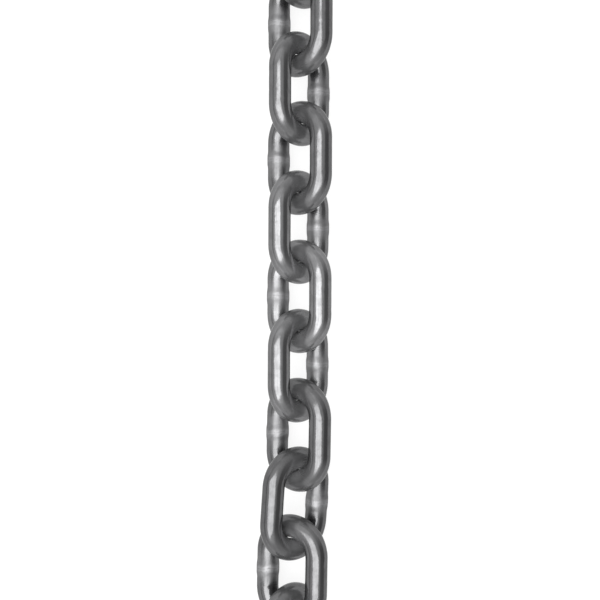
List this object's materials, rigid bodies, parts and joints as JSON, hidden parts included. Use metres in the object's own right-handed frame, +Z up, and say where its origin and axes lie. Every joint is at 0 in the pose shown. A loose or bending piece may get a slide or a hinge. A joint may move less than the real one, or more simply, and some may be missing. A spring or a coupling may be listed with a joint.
{
  "type": "length of welded short-link steel chain",
  "caption": "Straight length of bare welded short-link steel chain, its links interlocked and free to swing, lying on a level floor.",
  "frame": {"origin": "centre of the chain seen from above, on the floor that it lies on", "axes": "+X along the chain towards link_01, +Z up"},
  "size_m": [0.4918, 0.0332, 0.0286],
  "materials": {
    "steel": "satin"
  },
  "bodies": {
    "link_01": {"link_01": "steel"},
    "link_02": {"link_02": "steel"},
    "link_03": {"link_03": "steel"},
    "link_04": {"link_04": "steel"},
    "link_05": {"link_05": "steel"},
    "link_06": {"link_06": "steel"},
    "link_07": {"link_07": "steel"},
    "link_08": {"link_08": "steel"},
    "link_09": {"link_09": "steel"},
    "link_10": {"link_10": "steel"},
    "link_11": {"link_11": "steel"},
    "link_12": {"link_12": "steel"},
    "link_13": {"link_13": "steel"},
    "link_14": {"link_14": "steel"},
    "link_15": {"link_15": "steel"}
  },
  "joints": [
    {"name": "swing_08_07", "type": "hinge", "parent": "link_08", "child": "link_07", "pos_m": [0.02054, -0.00212, 0.01449], "axis": [0, -0.7071, 0.7071], "range_deg": [-105, 105]},
    {"name": "swing_07_06", "type": "hinge", "parent": "link_07", "child": "link_06", "pos_m": [0.05204, -0.00212, 0.01449], "axis": [0, 0.7071, 0.7071], "range_deg": [-105, 105]},
    {"name": "swing_06_05", "type": "hinge", "parent": "link_06", "child": "link_05", "pos_m": [0.08354, -0.00212, 0.01449], "axis": [0, 0.7071, -0.7071], "range_deg": [-105, 105]},
    {"name": "swing_05_04", "type": "hinge", "parent": "link_05", "child": "link_04", "pos_m": [0.11504, -0.00212, 0.01449], "axis": [0, -0.7071, -0.7071], "range_deg": [-105, 105]},
    {"name": "swing_04_03", "type": "hinge", "parent": "link_04", "child": "link_03", "pos_m": [0.14654, -0.00212, 0.01449], "axis": [0, -0.7071, 0.7071], "range_deg": [-105, 105]},
    {"name": "swing_03_02", "type": "hinge", "parent": "link_03", "child": "link_02", "pos_m": [0.17804, -0.00212, 0.01449], "axis": [0, 0.7071, 0.7071], "range_deg": [-105, 105]},
    {"name": "swing_02_01", "type": "hinge", "parent": "link_02", "child": "link_01", "pos_m": [0.20954, -0.00212, 0.01449], "axis": [0, 0.7071, -0.7071], "range_deg": [-105, 105]},
    {"name": "swing_08_09", "type": "hinge", "parent": "link_08", "child": "link_09", "pos_m": [-0.02146, -0.00212, 0.01449], "axis": [0, -0.7071, 0.7071], "range_deg": [-105, 105]},
    {"name": "swing_09_10", "type": "hinge", "parent": "link_09", "child": "link_10", "pos_m": [-0.05296, -0.00212, 0.01449], "axis": [0.0095, 0.707, 0.7071], "range_deg": [-105, 105]},
    {"name": "swing_10_11", "type": "hinge", "parent": "link_10", "child": "link_11", "pos_m": [-0.08467, -0.00184, 0.01449], "axis": [0.0355, 0.5938, -0.8039], "range_deg": [-105, 105]},
    {"name": "swing_11_12", "type": "hinge", "parent": "link_11", "child": "link_12", "pos_m": [-0.11618, 0.00048, 0.01449], "axis": [-0.0076, -0.5664, -0.8241], "range_deg": [-105, 105]},
    {"name": "swing_12_13", "type": "hinge", "parent": "link_12", "child": "link_13", "pos_m": [-0.14705, 0.00086, 0.01449], "axis": [0, -0.7071, 0.7071], "range_deg": [-105, 105]},
    {"name": "swing_13_14", "type": "hinge", "parent": "link_13", "child": "link_14", "pos_m": [-0.17804, 0.00058, 0.01449], "axis": [0, 0.7071, 0.7071], "range_deg": [-105, 105]},
    {"name": "swing_14_15", "type": "hinge", "parent": "link_14", "child": "link_15", "pos_m": [-0.20954, 0.00058, 0.01449], "axis": [0, 0.7071, -0.7071], "range_deg": [-105, 105]}
  ]
}
